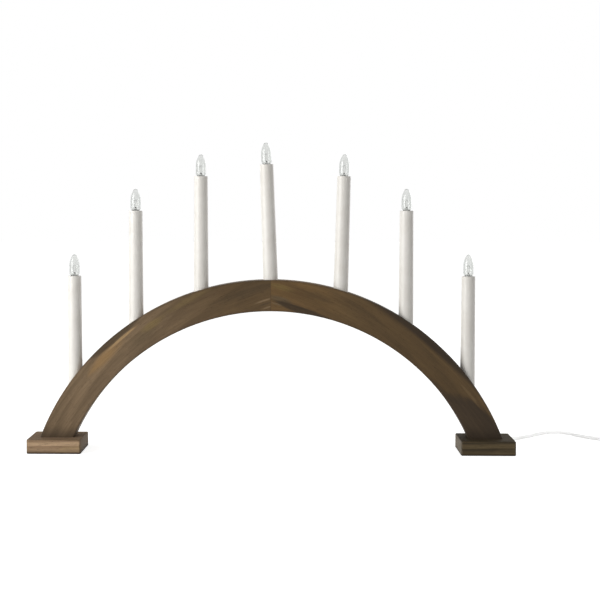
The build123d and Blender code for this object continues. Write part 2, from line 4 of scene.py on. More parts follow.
import bpy
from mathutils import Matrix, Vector


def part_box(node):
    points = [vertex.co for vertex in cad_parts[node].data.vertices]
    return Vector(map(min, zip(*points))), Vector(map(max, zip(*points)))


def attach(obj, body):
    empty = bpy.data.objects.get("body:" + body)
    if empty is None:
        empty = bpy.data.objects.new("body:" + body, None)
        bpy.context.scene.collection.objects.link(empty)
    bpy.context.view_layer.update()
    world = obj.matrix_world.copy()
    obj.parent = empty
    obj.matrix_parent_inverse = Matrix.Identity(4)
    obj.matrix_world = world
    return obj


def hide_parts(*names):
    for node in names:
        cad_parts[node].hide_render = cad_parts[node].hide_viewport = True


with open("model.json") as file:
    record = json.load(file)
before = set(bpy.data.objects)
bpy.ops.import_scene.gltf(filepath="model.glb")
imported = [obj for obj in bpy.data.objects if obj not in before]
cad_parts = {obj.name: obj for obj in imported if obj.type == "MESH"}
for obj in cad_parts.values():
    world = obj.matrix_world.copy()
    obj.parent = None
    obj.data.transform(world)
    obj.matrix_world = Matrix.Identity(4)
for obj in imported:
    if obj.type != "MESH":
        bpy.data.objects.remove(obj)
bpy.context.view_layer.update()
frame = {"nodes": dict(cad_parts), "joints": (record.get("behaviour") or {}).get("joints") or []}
nodes = frame["nodes"]
scene = bpy.context.scene
scene.view_settings.view_transform = "Standard"
candleNumbers = range(1, 8)
noiseSpan = (0.3, 0.7)  # where most values of a noise lie
print("frame loaded:", len(nodes), "pieces")


# Small helpers for node trees

def feed(tree, socket, value):
    if isinstance(value, bpy.types.NodeSocket):
        tree.links.new(value, socket)
    else:
        socket.default_value = value


def addNode(tree, kind, inputs=None, **settings):
    node = tree.nodes.new(kind)
    for name, value in settings.items():
        setattr(node, name, value)
    for name, value in (inputs or {}).items():
        feed(tree, node.inputs[name], value)
    return node


def result(tree, kind, inputs=None, **settings):  # the first output of a new node
    return addNode(tree, kind, inputs, **settings).outputs[0]


def calc(tree, operation, *values):
    return result(tree, "ShaderNodeMath", dict(enumerate(values)), operation=operation)


def plus(tree, first, second):
    return calc(tree, "ADD", first, second)


def minus(tree, first, second):
    return calc(tree, "SUBTRACT", first, second)


def times(tree, first, second):
    return calc(tree, "MULTIPLY", first, second)


def timesPlus(tree, value, factor, base):
    return calc(tree, "MULTIPLY_ADD", value, factor, base)


def hypotenuse(tree, first, second):
    return calc(tree, "SQRT", plus(tree, times(tree, first, first), times(tree, second, second)))


def split(tree, vector):
    return addNode(tree, "ShaderNodeSeparateXYZ", {"Vector": vector}).outputs


def combine(tree, x, y, z):
    return result(tree, "ShaderNodeCombineXYZ", {"X": x, "Y": y, "Z": z})


def stretch(tree, vector, scales):  # a place scaled on each of its three axes
    return result(tree, "ShaderNodeVectorMath", {0: vector, 1: scales}, operation="MULTIPLY")


def noise(tree, vector, scale=1.0, detail=2.0, roughness=0.5):
    inputs = {"Vector": vector, "Scale": scale, "Detail": detail, "Roughness": roughness}
    return addNode(tree, "ShaderNodeTexNoise", inputs).outputs["Fac"]


def spread(tree, value, low, high, toLow=0.0, toHigh=1.0, smooth=True):  # from one range to another
    inputs = {"Value": value, "From Min": low, "From Max": high, "To Min": toLow, "To Max": toHigh}
    kind = "SMOOTHSTEP" if smooth else "LINEAR"
    return result(tree, "ShaderNodeMapRange", inputs, interpolation_type=kind)


def fadeOut(tree, value, low, high, smooth=True):  # from 1 down to 0
    return spread(tree, value, low, high, 1.0, 0.0, smooth)


def blendTone(tree, factor, first, second, mode="MIX"):
    node = addNode(tree, "ShaderNodeMix", data_type="RGBA", blend_type=mode)
    feed(tree, node.inputs["Factor"], factor)
    for socket, tone in ((node.inputs[6], first), (node.inputs[7], second)):
        feed(tree, socket, tone if isinstance(tone, bpy.types.NodeSocket) else (*tone, 1.0))
    return node.outputs[2]


def shadeBy(tree, tone, factor):
    return blendTone(tree, 1.0, tone, factor, mode="MULTIPLY")


def stainBy(tree, tone, mask, share, stain):  # a stain laid over a tone where its mask is
    return blendTone(tree, times(tree, mask, share), tone, stain)


def nameSockets(tree, vectors, numbers, outputs, outputKind):
    for name in vectors:
        tree.interface.new_socket(name, in_out="INPUT", socket_type="NodeSocketVector")
    for name, value in numbers.items():
        socket = tree.interface.new_socket(name, in_out="INPUT", socket_type="NodeSocketFloat")
        socket.default_value = value
    for name in outputs:
        tree.interface.new_socket(name, in_out="OUTPUT", socket_type=outputKind)
    return tree, tree.nodes.new("NodeGroupInput").outputs, tree.nodes.new("NodeGroupOutput").inputs


def newGroup(name, numbers, *outputs):  # a shared effect, laid out on a place
    tree = bpy.data.node_groups.new(name, "ShaderNodeTree")
    return nameSockets(tree, ["Place"], numbers, outputs, "NodeSocketFloat")


def useGroup(tree, group, **values):
    inputs = {name.replace("_", " "): value for name, value in values.items()}
    return addNode(tree, "ShaderNodeGroup", inputs, node_tree=group).outputs


def newMaterial(name, **plain):  # plain values are set on the shader itself
    material = bpy.data.materials.new(name)
    material.use_nodes = True
    tree = material.node_tree
    shader = tree.nodes["Principled BSDF"]
    for socketName, value in plain.items():
        shader.inputs[socketName.replace("_", " ")].default_value = value
    return material, tree, shader


def objectPlace(tree):
    return tree.nodes.new("ShaderNodeTexCoord").outputs["Object"]


def bumpInto(tree, shader, height, distance, strength):
    bump = addNode(tree, "ShaderNodeBump", {"Strength": strength, "Distance": distance, "Height": height})
    feed(tree, shader.inputs["Normal"], bump.outputs["Normal"])


def dress(material, *names):
    for name in names:
        nodes[name].data.materials.clear()
        nodes[name].data.materials.append(material)


def everyCandle(name):
    return [f"{name}_{number}" for number in candleNumbers]


# Small helpers for forms grown with geometry nodes

def socketTitle(key):  # headRadius becomes Head Radius
    return "".join(" " + letter if letter.isupper() else letter for letter in key).title()


def newForm(name, sizes, vectors=()):
    tree = bpy.data.node_groups.new(name, "GeometryNodeTree")
    numbers = {socketTitle(key): size for key, size in sizes.items()}
    return nameSockets(tree, vectors, numbers, ["Geometry"], "NodeSocketGeometry")


def atHeight(tree, height):
    return combine(tree, 0, 0, height)


def moved(tree, geometry, place, turn=(0, 0, 0), size=(1, 1, 1)):
    inputs = {"Geometry": geometry, "Translation": place, "Rotation": turn, "Scale": size}
    return result(tree, "GeometryNodeTransform", inputs)


def atRim(tree, given, geometry):  # set at a candle's rim, leaning as the candle does
    return moved(tree, geometry, given["Rim Place"], combine(tree, 0, given["Lean"], 0))


def line(tree, start, end):
    return result(tree, "GeometryNodeCurvePrimitiveLine", {"Start": start, "End": end})


def tube(tree, curve, radius, sides):
    ring = result(tree, "GeometryNodeCurvePrimitiveCircle", {"Resolution": sides, "Radius": 1.0})
    inputs = {"Curve": curve, "Profile Curve": ring, "Scale": radius, "Fill Caps": True}
    return result(tree, "GeometryNodeCurveToMesh", inputs)


def cone(tree, sides, top, bottom, depth):
    inputs = {"Vertices": sides, "Radius Top": top, "Radius Bottom": bottom, "Depth": depth}
    return result(tree, "GeometryNodeMeshCone", inputs)


def ball(tree, segments, rings, radius):
    return result(tree, "GeometryNodeMeshUVSphere", {"Segments": segments, "Rings": rings, "Radius": radius})


def painted(tree, geometry, material):  # real geometry in its material
    whole = result(tree, "GeometryNodeRealizeInstances", {"Geometry": geometry})
    return result(tree, "GeometryNodeSetMaterial", {"Geometry": whole, "Material": material})


def joined(tree, *meshes):
    node = tree.nodes.new("GeometryNodeJoinGeometry")
    for mesh in reversed(meshes):
        tree.links.new(mesh, node.inputs["Geometry"])
    return node.outputs["Geometry"]


def smoothed(tree, geometry):
    return result(tree, "GeometryNodeSetShadeSmooth", {"Geometry": geometry})


def turnedSkin(tree, around, along):  # grid to wrap round Z, its turn and outline share
    grid = result(tree, "GeometryNodeMeshGrid", {"Vertices X": around, "Vertices Y": along})
    parts = split(tree, result(tree, "GeometryNodeInputPosition"))
    return grid, times(tree, parts["X"], 2 * math.pi), plus(tree, parts["Y"], 0.5)


def wrapSkin(tree, grid, turn, radius, height, seam=1e-6):
    across = times(tree, radius, calc(tree, "COSINE", turn))
    depth = times(tree, radius, calc(tree, "SINE", turn))
    inputs = {"Geometry": grid, "Position": combine(tree, across, depth, height)}
    wrapped = result(tree, "GeometryNodeSetPosition", inputs)
    closed = result(tree, "GeometryNodeMergeByDistance", {"Geometry": wrapped, "Distance": seam})
    return smoothed(tree, closed)


def threadWave(tree, turn, height, pitch):  # 1 on the crest of a right-hand thread, 0 in its root
    climb = times(tree, calc(tree, "DIVIDE", height, pitch), 2 * math.pi)
    return timesPlus(tree, calc(tree, "COSINE", minus(tree, turn, climb)), 0.5, 0.5)


def growPiece(name, tree, values):  # runs a form once and keeps its result as a plain mesh
    source = bpy.data.objects.new(name + "_source", bpy.data.meshes.new(name + "_source"))
    scene.collection.objects.link(source)
    modifier = source.modifiers.new("form", "NODES")
    modifier.node_group = tree
    for item in tree.interface.items_tree:
        if item.in_out == "INPUT" and item.name in values:
            modifier[item.identifier] = values[item.name]
    evaluated = source.evaluated_get(bpy.context.evaluated_depsgraph_get())
    mesh = bpy.data.meshes.new_from_object(evaluated)
    source.modifiers.remove(modifier)
    bpy.data.objects.remove(source)
    mesh.name = name
    piece = bpy.data.objects.new(name, mesh)
    scene.collection.objects.link(piece)
    return piece


rimAbovePivot = 0.00685  # from the bulb's joint to the sleeve's rim


def rimPlace(number):  # a candle's rim and lean, from the joint that its bulb turns on
    joint = next(item for item in frame["joints"] if item["name"] == f"bulb_screw_{number}")
    axis = Vector(joint["axis"]).normalized()
    place = Vector(joint["pos_m"]) + axis * rimAbovePivot
    return tuple(place), math.atan2(axis.x, axis.z)


def fitBulbs(pieceName, form, solidName):  # one piece on each bulb, for its plain solid
    for number in candleNumbers:
        place, lean = rimPlace(number)
        piece = growPiece(f"{pieceName}_{number}", form, {"Rim Place": place, "Lean": lean})
        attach(piece, f"bulb_{number}")
        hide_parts(f"{solidName}_{number}")


# Camera, at the height and side that the photograph was taken from

cameraLook = {
    "place": (0.0295, -1.7969, 0.3082),
    "downTilt": 3.632,  # degrees
    "leftTurn": 1.514,
    "sensorWidth": 36,
    "lens": 84.5,
    "frameShift": 0.0722,  # the object stands left of the middle
}


def makeCamera(look):
    camera = bpy.data.objects.new("camera", bpy.data.cameras.new("camera"))
    scene.collection.objects.link(camera)
    camera.location = look["place"]
    camera.rotation_euler = (math.radians(90 - look["downTilt"]), 0, math.radians(look["leftTurn"]))
    camera.data.sensor_width = look["sensorWidth"]
    camera.data.lens = look["lens"]
    camera.data.shift_x = look["frameShift"]
    scene.camera = camera


makeCamera(cameraLook)
print("camera set")


# Studio: white floor, white surroundings, one big soft lamp on the left

studio = {
    "sideLight": 0.44,
    "topLight": 0.30,  # less light from overhead than from the sides
    "lightRise": (0.1, 0.9),  # where one goes over into the other
    "floorTone": (0.9, 0.9, 0.89),
    "floorFleck": (0.98, 1.0),
    "fleckScale": 40.0,
    "floorRoughness": 0.9,
    "floorGlow": 0.74,  # seen by the camera, glass and metal only
    "floorReach": 12.0,
    "keyPlace": (-1.92, -1.11, 0.72),
    "keyAim": (0.0, 0.0, 0.2),
    "keySize": 1.8,
    "keyPower": 37.5,
    "fillPlace": (1.35, 1.70, 0.85),  # weak lamp behind on the right
    "fillSize": 1.5,
    "fillPower": 6.0,
    "tablePlace": (0.62, -0.42, 0.80),  # small lamp over the table beside the right foot
    "tableAim": (0.375, 0.10, 0.0),
    "tableAngle": 15.0,  # degrees
    "tableBlend": 0.7,
    "tableSize": 0.06,
    "tablePower": 23.0,
}


def whiteRays(tree):  # 1 for what the camera, glass and metal see
    path = tree.nodes.new("ShaderNodeLightPath")
    seen = calc(tree, "MAXIMUM", path.outputs["Is Camera Ray"], path.outputs["Is Glossy Ray"])
    return calc(tree, "MAXIMUM", seen, path.outputs["Is Transmission Ray"])


def makeWorld(look):
    world = bpy.data.worlds.new("studio")
    world.use_nodes = True
    scene.world = world
    tree = world.node_tree
    background = tree.nodes["Background"]
    background.inputs["Color"].default_value = (1, 1, 1, 1)
    rise = split(tree, tree.nodes.new("ShaderNodeTexCoord").outputs["Generated"])["Z"]
    plain = spread(tree, rise, *look["lightRise"], look["sideLight"], look["topLight"])
    white = whiteRays(tree)
    level = timesPlus(tree, plain, minus(tree, 1.0, white), white)
    tree.links.new(level, background.inputs["Strength"])


def makeFloor(look):
    reach = look["floorReach"]
    corners = [(-reach, -reach, 0), (reach, -reach, 0), (reach, reach, 0), (-reach, reach, 0)]
    mesh = bpy.data.meshes.new("floor")
    mesh.from_pydata(corners, [], [(0, 1, 2, 3)])
    floor = bpy.data.objects.new("floor", mesh)
    scene.collection.objects.link(floor)
    plain = {"Roughness": look["floorRoughness"], "Specular_IOR_Level": 0.0}
    material, tree, shader = newMaterial("floorPaper", **plain)
    grain = noise(tree, objectPlace(tree), look["fleckScale"])
    tone = shadeBy(tree, look["floorTone"], spread(tree, grain, *noiseSpan, *look["floorFleck"]))
    feed(tree, shader.inputs["Base Color"], tone)
    glow = times(tree, whiteRays(tree), look["floorGlow"])
    shader.inputs["Emission Color"].default_value = (1, 1, 1, 1)
    feed(tree, shader.inputs["Emission Strength"], glow)
    mesh.materials.append(material)


def hangLamp(name, kind, place, target, power):
    lamp = bpy.data.lights.new(name, kind)
    lamp.energy = power
    holder = bpy.data.objects.new(name, lamp)
    scene.collection.objects.link(holder)
    holder.location = place
    holder.rotation_euler = (Vector(target) - Vector(place)).to_track_quat("-Z", "Y").to_euler()
    return lamp


def hangLamps(look):
    for name in ("key", "fill"):
        lamp = hangLamp(name, "AREA", look[name + "Place"], look["keyAim"], look[name + "Power"])
        lamp.shape = "DISK"
        lamp.size = look[name + "Size"]
    spot = hangLamp("table", "SPOT", look["tablePlace"], look["tableAim"], look["tablePower"])
    spot.spot_size = math.radians(look["tableAngle"])
    spot.spot_blend = look["tableBlend"]
    spot.shadow_soft_size = look["tableSize"]


makeWorld(studio)
makeFloor(studio)
hangLamps(studio)
print("studio set")


# Cord: one spline from the bushing, along the table, through the tied coil to the plug

cordLook = {
    "diameter": 0.005,
    "length": 1.59,
    "exit": (0.25871, 0.0315, 0.0303),
    "route": [
        (0.25871, 0.0091, 0.0303),
        (0.25871, 0.047, 0.0303),
        (0.267, 0.073, 0.0125),
        (0.291, 0.080, 0.0025),
        (0.320, 0.082, 0.0025),
        (0.346, 0.104, 0.003),
        (0.367, 0.124, 0.004),
        (0.386, 0.134, 0.005),
        (0.404, 0.128, 0.004),
        (0.416, 0.112, 0.003),
        (0.437, 0.090, 0.0025),
        (0.455, 0.066, 0.0037),
        (0.455, 0.045, 0.0037),
    ],
    "coilCentreY": 0.040,
    "coilRadius": 0.037,
    "coilPitch": 0.0056,
    "coilHalfTurns": 6,
    "coilHeights": (0.0037, 0.0093),
    "pointsPerHalfTurn": 12,
    "tail": [
        (0.529, 0.067, 0.0093),
        (0.531, 0.089, 0.00685),
        (0.531, 0.111, 0.00685),
        (0.531, 0.118, 0.00685),
    ],
    "roundness": 6,
    "stepsPerPoint": 8,
    "splineOrder": 3,
}


def coilPoints(look):  # half turns that wind in on the table, climb, and wind out on top
    radii = [look["coilRadius"] - look["coilPitch"] / 2 * turn for turn in range(look["coilHalfTurns"] + 1)]
    radii += radii[-2::-1]
    low, high = look["coilHeights"]
    here = look["route"][-1][0]
    side = -1
    steps = look["pointsPerHalfTurn"]
    points = []
    for number, radius in enumerate(radii):
        startZ = low if number <= look["coilHalfTurns"] else high
        endZ = low if number < look["coilHalfTurns"] else high
        middle = here - side * radius
        for step in range(steps):
            share = (step + 0.5) / steps
            turn = math.pi * share
            points.append((
                middle + side * radius * math.cos(turn),
                look["coilCentreY"] + side * radius * math.sin(turn),
                startZ + (endZ - startZ) * share,
            ))
        here = middle - side * radius
        side = -side
    return points


def makeCord(look):
    curve = bpy.data.curves.new("mains_flex", "CURVE")
    curve.dimensions = "3D"
    curve.bevel_depth = 1.0  # each point's radius is the sheath's
    curve.bevel_resolution = look["roundness"]
    curve.use_fill_caps = True
    curve.resolution_u = look["stepsPerPoint"]
    points = look["route"] + coilPoints(look) + look["tail"]
    spline = curve.splines.new("NURBS")
    spline.points.add(len(points) - 1)
    for point, place in zip(spline.points, points):
        point.co = (*place, 1.0)
        point.radius = look["diameter"] / 2
    spline.order_u = look["splineOrder"]
    spline.use_endpoint_u = True
    flex = bpy.data.objects.new("mains_flex", curve)
    scene.collection.objects.link(flex)
    return flex


flex = makeCord(cordLook)
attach(flex, "stand")
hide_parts("mains_cord", "cord_coil", "cord_tail")
print("cord laid")


# Shared effects

figureLook = {  # scales are per metre: along the grain, in depth and across
    "swayScale": (5, 14, 14),
    "unevenScale": (1.2, 60, 60),
    "unevenShare": 0.9,
    "ringRise": (0.25, 0.85),  # a year's growth darkens slowly and ends at once
    "ringEnd": (0.88, 1.0),
    "fibreScale": (22, 900, 900),
    "poreScale": (170, 3200, 3200),
    "poreRange": (0.62, 0.72),
    "patchScale": (9, 26, 34),
}

streakTear = (30, 20, 170)
scuffLook = {"grain": (1.0, 1.0, 0.12), "scale": 2600.0, "range": (0.55, 0.8)}


def makeBoardFigure(look):  # growth rings, fibres, pores and patches of one board; X runs along the grain
    numbers = {"Pith Across": 0.0, "Pith Depth": 0.03, "Taper": 0.04, "Ring Spacing": 0.004, "Wander": 0.006}
    tree, given, out = newGroup("boardFigure", numbers, "Rings", "Fibre", "Pores", "Patches")
    place = given["Place"]
    parts = split(tree, place)
    sway = noise(tree, stretch(tree, place, look["swayScale"]), detail=3.0)
    sway = times(tree, minus(tree, sway, 0.5), given["Wander"])
    across = plus(tree, minus(tree, parts["Z"], given["Pith Across"]), sway)
    depth = minus(tree, parts["Y"], given["Pith Depth"])
    depth = plus(tree, timesPlus(tree, parts["X"], given["Taper"], depth), sway)
    years = calc(tree, "DIVIDE", hypotenuse(tree, across, depth), given["Ring Spacing"])
    uneven = noise(tree, stretch(tree, place, look["unevenScale"]), detail=1.0)
    year = calc(tree, "FRACT", timesPlus(tree, uneven, look["unevenShare"], years))
    rings = times(tree, spread(tree, year, *look["ringRise"]), fadeOut(tree, year, *look["ringEnd"]))
    feed(tree, out["Rings"], rings)
    fibre = noise(tree, stretch(tree, place, look["fibreScale"]), detail=4.0, roughness=0.6)
    feed(tree, out["Fibre"], fibre)
    dash = noise(tree, stretch(tree, place, look["poreScale"]), detail=1.0)
    feed(tree, out["Pores"], spread(tree, dash, *look["poreRange"]))
    patches = noise(tree, stretch(tree, place, look["patchScale"]), detail=4.0, roughness=0.55)
    feed(tree, out["Patches"], patches)
    return tree


def makeStainStreak(tearScale):  # soft ragged-edged patch, long along the grain
    numbers = {"Along": 0.0, "Across": 0.0, "Half Length": 0.03, "Half Width": 0.006}
    tree, given, out = newGroup("stainStreak", {**numbers, "Softness": 0.6, "Ragged": 0.5}, "Mask")
    place = given["Place"]
    parts = split(tree, place)
    tear = minus(tree, noise(tree, stretch(tree, place, tearScale), detail=3.0), 0.5)
    tear = times(tree, tear, given["Ragged"])
    along = calc(tree, "DIVIDE", minus(tree, parts["X"], given["Along"]), given["Half Length"])
    across = calc(tree, "DIVIDE", minus(tree, parts["Z"], given["Across"]), given["Half Width"])
    reach = plus(tree, hypotenuse(tree, along, plus(tree, across, tear)), tear)
    feed(tree, out["Mask"], spread(tree, reach, 1.0, minus(tree, 1.0, given["Softness"])))
    return tree


def makeHandling(look):  # uneven gloss and fine scuffs of moulded and metal pieces
    tree, given, out = newGroup("handling", {"Scale": 60.0}, "Cloud", "Scuff")
    feed(tree, out["Cloud"], noise(tree, given["Place"], given["Scale"], detail=3.0))
    fine = noise(tree, stretch(tree, given["Place"], look["grain"]), look["scale"])
    feed(tree, out["Scuff"], spread(tree, fine, *look["range"]))
    return tree


boardFigure = makeBoardFigure(figureLook)
stainStreak = makeStainStreak(streakTear)
handling = makeHandling(scuffLook)
print("shared effects built")


# What all the stained wood has in common

woodLook = {
    "poreTone": (0.030, 0.020, 0.013),
    "poreShare": 0.5,
    "poreDepth": 0.8,  # against the fibres
    "patchGloss": 0.22,
    "relief": 0.00012,
    "reliefShare": 0.5,
}


def grainSpace(tree, turn, offset=(0, 0, 0)):
    coords = tree.nodes.new("ShaderNodeTexCoord").outputs
    inputs = {"Vector": coords["Object"], "Rotation": (0, math.radians(turn), 0), "Location": offset}
    return coords, result(tree, "ShaderNodeMapping", inputs)


def boardMarks(tree, place, pith, taper, ringSpacing, wander):
    across, depth = pith
    return useGroup(
        tree, boardFigure, Place=place, Pith_Across=across, Pith_Depth=depth, Taper=taper,
        Ring_Spacing=ringSpacing, Wander=wander,
    )


def endGrain(tree, normal, direction):  # 1 where the surface cuts straight across the fibres
    dot = addNode(tree, "ShaderNodeVectorMath", {0: normal, 1: direction}, operation="DOT_PRODUCT")
    return calc(tree, "POWER", calc(tree, "ABSOLUTE", dot.outputs["Value"]), 2.0)


def poreStain(tree, tone, figure):
    return stainBy(tree, tone, figure["Pores"], woodLook["poreShare"], woodLook["poreTone"])


def woodSurface(tree, shader, figure, tone, gloss):
    feed(tree, shader.inputs["Base Color"], tone)
    feed(tree, shader.inputs["Roughness"], gloss)
    height = minus(tree, figure["Fibre"], times(tree, figure["Pores"], woodLook["poreDepth"]))
    bumpInto(tree, shader, height, woodLook["relief"], woodLook["reliefShare"])


# Arch: two stained boards, butted at the crown, each with its grain along its own half

archShape = {
    "centreZ": -0.0967,
    "outerRadius": 0.317,
    "innerRadius": 0.2772,
    "halfDepth": 0.014,
    "footTop": 0.0183,
}

archStain = {
    "specular": 0.16,
    "wander": 0.016,
    "ringShare": 0.27,
    "patchRange": (0.84, 1.16),
    "fibreRange": (0.88, 1.11),
    "cutTone": (0.055, 0.038, 0.023),  # end grain
    "cutShare": 0.45,
    # edge: painted shade along the eased edges of the faces
    "edgeTone": (0.050, 0.036, 0.023),
    "edgeShare": 0.38,
    "edgeReach": (0.0004, 0.0036),
    # foot: painted shadow low on the leg, where it stands on the foot
    "footTone": (0.036, 0.026, 0.017),
    "footShare": 0.6,
    "footShadowReach": 0.018,
    "seamTone": (0.040, 0.028, 0.017),
    "seamShare": 0.3,
    "seamReach": (0.0002, 0.0011),
    "roughness": 0.40,
    "poreRoughness": 0.2,
}


def streak(spot, size, tone, share, softness=0.75, ragged=0.5):  # on the front face; size in halves
    return {"spot": spot, "size": size, "tone": tone, "share": share, "softness": softness, "ragged": ragged}


leftBoard = {
    "grainTurn": 33.0,  # degrees, rising to the crown
    "bow": 1.1,  # grain flatter at the crown, steeper in the leg
    "bowMiddle": -0.02,
    "pith": (0.185, 0.055),
    "taper": 0.05,
    "ringSpacing": 0.0052,
    "crownTone": (0.128, 0.080, 0.037),
    "legTone": (0.208, 0.142, 0.082),
    "fade": (0.02, 0.20),  # distances from the crown seam
    "ringTone": (0.070, 0.046, 0.024),
    "streaks": [
        streak((-0.1619, 0.1484), (0.030, 0.0090), (0.115, 0.082, 0.046), 0.55),
        streak((-0.2120, 0.1209), (0.038, 0.0090), (0.290, 0.175, 0.074), 0.75),
        streak((-0.1984, 0.1514), (0.050, 0.0100), (0.062, 0.042, 0.024), 0.74, softness=0.28),
        streak((-0.1915, 0.1443), (0.034, 0.0021), (0.360, 0.235, 0.115), 0.90, softness=0.55),
        streak((-0.150, 0.164), (0.022, 0.0065), (0.215, 0.150, 0.058), 0.60),
        streak((-0.108, 0.193), (0.040, 0.0055), (0.185, 0.128, 0.052), 0.55),
        streak((-0.030, 0.206), (0.055, 0.0100), (0.086, 0.058, 0.031), 0.60),
        streak((-0.0080, 0.1942), (0.016, 0.0017), (0.235, 0.160, 0.090), 0.70),
        streak((-0.0062, 0.1901), (0.014, 0.0018), (0.070, 0.046, 0.026), 0.60),
        streak((-0.0035, 0.1857), (0.011, 0.0015), (0.235, 0.160, 0.090), 0.60),
    ],
}

rightBoard = {
    "grainTurn": -33.0,
    "bow": 1.1,
    "bowMiddle": 0.03,
    "pith": (0.192, 0.050),
    "taper": -0.05,
    "ringSpacing": 0.0060,
    "crownTone": (0.164, 0.096, 0.038),
    "legTone": (0.128, 0.080, 0.036),
    "fade": (0.02, 0.12),
    "ringTone": (0.060, 0.039, 0.021),
    "streaks": [
        streak((0.014, 0.211), (0.022, 0.0050), (0.190, 0.128, 0.046), 0.75),
        streak((0.0119, 0.1956), (0.019, 0.0052), (0.112, 0.086, 0.053), 0.60),
        streak((0.046, 0.179), (0.052, 0.0062), (0.048, 0.032, 0.018), 0.92, softness=0.4),
        streak((0.197, 0.157), (0.145, 0.0165), (0.040, 0.027, 0.017), 0.92, softness=0.35),
        streak((0.0074, 0.1899), (0.010, 0.0015), (0.205, 0.145, 0.082), 0.55),
        streak((0.2716, -0.0133), (0.104, 0.0486), (0.044, 0.031, 0.021), 0.80, softness=0.14, ragged=0.14),
        streak((0.2140, 0.0835), (0.026, 0.0055), (0.046, 0.032, 0.020), 0.55),
        streak((0.0630, 0.1980), (0.024, 0.0070), (0.090, 0.058, 0.028), 0.50),
        streak((0.2534, 0.0743), (0.024, 0.0024), (0.190, 0.125, 0.060), 0.60, softness=0.55),
    ],
}


def boardPlace(x, z, board):  # a spot of the front face, along and across the board's grain
    angle = math.radians(board["grainTurn"])
    along = x * math.cos(angle) + z * math.sin(angle)
    across = z * math.cos(angle) - x * math.sin(angle)
    return along, across + board["bow"] * (along - board["bowMiddle"]) ** 2


def bowGrain(tree, place, board):  # bends the grain a little along the board
    parts = split(tree, place)
    run = minus(tree, parts["X"], board["bowMiddle"])
    lift = times(tree, times(tree, run, run), board["bow"])
    return combine(tree, parts["X"], parts["Y"], plus(tree, parts["Z"], lift))


def archEdges(tree, place, shape, stain):  # 1 at the long edges and the foot, both for painted shade, and at the seam
    parts = split(tree, place)
    fromCrown = calc(tree, "ABSOLUTE", parts["X"])
    radius = hypotenuse(tree, parts["X"], minus(tree, parts["Z"], shape["centreZ"]))
    fromOuter = minus(tree, shape["outerRadius"], radius)
    fromInner = minus(tree, radius, shape["innerRadius"])
    fromFace = minus(tree, shape["halfDepth"], calc(tree, "ABSOLUTE", parts["Y"]))
    fromEdge = calc(tree, "MAXIMUM", calc(tree, "MINIMUM", fromOuter, fromInner), fromFace)
    masks = {
        "edge": fadeOut(tree, fromEdge, *stain["edgeReach"]),
        "foot": fadeOut(tree, parts["Z"], shape["footTop"], shape["footTop"] + stain["footShadowReach"]),
        "seam": fadeOut(tree, fromCrown, *stain["seamReach"]),
    }
    return masks, fromCrown


def stainedArchWood(name, board, shape, stain):
    material, tree, shader = newMaterial(name, Specular_IOR_Level=stain["specular"])
    coords, place = grainSpace(tree, board["grainTurn"])
    place = bowGrain(tree, place, board)
    figure = boardMarks(tree, place, board["pith"], board["taper"], board["ringSpacing"], stain["wander"])
    masks, fromCrown = archEdges(tree, coords["Object"], shape, stain)
    tone = blendTone(tree, spread(tree, fromCrown, *board["fade"]), board["crownTone"], board["legTone"])
    tone = stainBy(tree, tone, figure["Rings"], stain["ringShare"], board["ringTone"])
    for mark in board["streaks"]:
        along, across = boardPlace(*mark["spot"], board)
        halfLength, halfWidth = mark["size"]
        mask = useGroup(
            tree, stainStreak, Place=place, Along=along, Across=across, Half_Length=halfLength,
            Half_Width=halfWidth, Softness=mark["softness"], Ragged=mark["ragged"],
        )["Mask"]
        tone = stainBy(tree, tone, mask, mark["share"], mark["tone"])
    tone = shadeBy(tree, tone, spread(tree, figure["Patches"], *noiseSpan, *stain["patchRange"]))
    tone = shadeBy(tree, tone, spread(tree, figure["Fibre"], *noiseSpan, *stain["fibreRange"]))
    tone = poreStain(tree, tone, figure)
    angle = math.radians(board["grainTurn"])
    masks["cut"] = endGrain(tree, coords["Normal"], (math.cos(angle), 0, math.sin(angle)))
    # edge and foot are painted shade; cut is end grain and seam a dark joint
    for part in ("cut", "edge", "foot", "seam"):
        tone = stainBy(tree, tone, masks[part], stain[part + "Share"], stain[part + "Tone"])
    gloss = timesPlus(tree, figure["Patches"], woodLook["patchGloss"], stain["roughness"])
    gloss = timesPlus(tree, figure["Pores"], stain["poreRoughness"], gloss)
    woodSurface(tree, shader, figure, tone, gloss)
    return material


dress(stainedArchWood("stainedArchLeft", leftBoard, archShape, archStain), "left_arch_half")
dress(stainedArchWood("stainedArchRight", rightBoard, archShape, archStain), "right_arch_half")
print("arch stained")


# Feet: two short blocks with the grain across, the left one cut from paler stock

footShape = {"halfWidth": 0.0345, "halfDepth": 0.0345, "height": 0.0183}

footStain = {
    "specular": 0.08,
    "taper": 0.008,
    "ringSpacing": 0.0046,
    "wander": 0.003,
    "ringShare": 0.75,
    "paleRange": (0.52, 0.68),
    "paleShare": 0.5,
    "endRingShare": 0.5,
    "endShare": 0.85,
    "fibreRange": (0.84, 1.14),
    "topFacing": (0.6, 0.95),  # rise of the surface's direction
    "topRoughness": 0.2,  # the top is left unpolished
    "lowShadeReach": (0.0010, 0.0085),  # painted shade, darker towards the table
    "edgeTone": (0.040, 0.030, 0.020),
    "edgeShare": 0.30,
    "edgeReach": (0.0004, 0.0024),
    # low: a painted contact shadow along the bottom
    "lowTone": (0.016, 0.012, 0.009),
    "lowShare": 0.85,
    "lowReach": (0.0008, 0.0032),
    "roughness": 0.42,
    "endRoughness": 0.15,
}

leftFootBlock = {
    "middle": -0.27491,
    "tone": (0.490, 0.338, 0.210),
    "lineTone": (0.235, 0.152, 0.088),
    "paleTone": (0.480, 0.345, 0.165),
    "endTone": (0.128, 0.107, 0.078),
    "topPaintedShade": 0.52,
    "lowPaintedShade": 0.42,
    "pith": (-0.030, 0.030),
}

